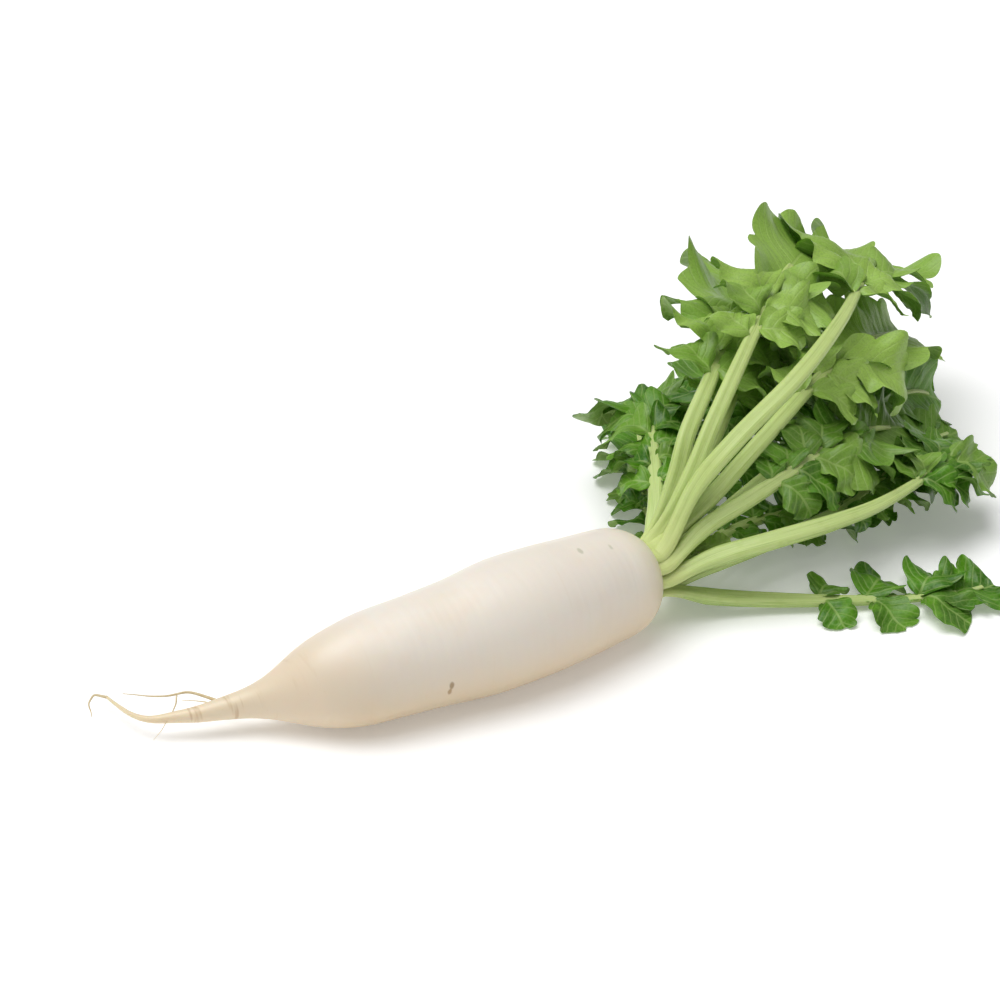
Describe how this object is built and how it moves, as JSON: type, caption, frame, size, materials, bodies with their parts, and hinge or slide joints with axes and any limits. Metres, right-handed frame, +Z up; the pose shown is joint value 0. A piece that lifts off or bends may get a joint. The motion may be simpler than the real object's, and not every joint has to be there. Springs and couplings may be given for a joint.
{
  "type": "daikon radish",
  "caption": "Freshly picked white daikon radish lying on its side: a long blunt-shouldered root with a thin curling tail and rootlets, and a rosette of green leaves fanned out behind the crown",
  "frame": {"origin": "the middle of the small flat patch of skin under the root's belly that it rests on", "axes": "+X runs along the root from its tail to its crown and on into the leaves, +Z is up from the surface it lies on, and +Y is the side that most of the leaves fan out to"},
  "size_m": [0.5821, 0.3025, 0.1413],
  "materials": {
    "root_skin": "smooth moist creamy white skin, faint lines round it, beige towards the tail",
    "rootlet_skin": "dry yellow-beige threads",
    "leaf_stalk": "satin pale lime green, ribbed along its length",
    "leaf_blade": "mid green with pale veins, paler grey-green underneath",
    "young_stalk": "satin pale yellow green",
    "young_blade": "fresh light green"
  },
  "bodies": {
    "root": {"heart_leaf_1_blade": "young_blade", "heart_leaf_1_stalk": "young_stalk", "heart_leaf_2_blade": "young_blade", "heart_leaf_2_stalk": "young_stalk", "leaf_01_blade": "leaf_blade", "leaf_01_stalk": "leaf_stalk", "leaf_02_blade": "leaf_blade", "leaf_02_stalk": "leaf_stalk", "leaf_03_blade": "leaf_blade", "leaf_03_stalk": "leaf_stalk", "leaf_04_blade": "leaf_blade", "leaf_04_stalk": "leaf_stalk", "leaf_05_blade": "leaf_blade", "leaf_05_stalk": "leaf_stalk", "leaf_06_blade": "leaf_blade", "leaf_06_stalk": "leaf_stalk", "leaf_07_blade": "leaf_blade", "leaf_07_stalk": "leaf_stalk", "leaf_08_blade": "leaf_blade", "leaf_08_stalk": "leaf_stalk", "leaf_09_blade": "leaf_blade", "leaf_09_stalk": "leaf_stalk", "leaf_10_blade": "leaf_blade", "leaf_10_stalk": "leaf_stalk", "leaf_11_blade": "leaf_blade", "leaf_11_stalk": "leaf_stalk", "leaf_12_blade": "leaf_blade", "leaf_12_stalk": "leaf_stalk", "leaf_13_blade": "leaf_blade", "leaf_13_stalk": "leaf_stalk", "leaf_14_blade": "leaf_blade", "leaf_14_stalk": "leaf_stalk", "leaf_15_blade": "leaf_blade", "leaf_15_stalk": "leaf_stalk", "root": "root_skin", "side_root_1": "rootlet_skin", "side_root_2": "rootlet_skin", "side_root_3": "rootlet_skin"}
  },
  "joints": []
}
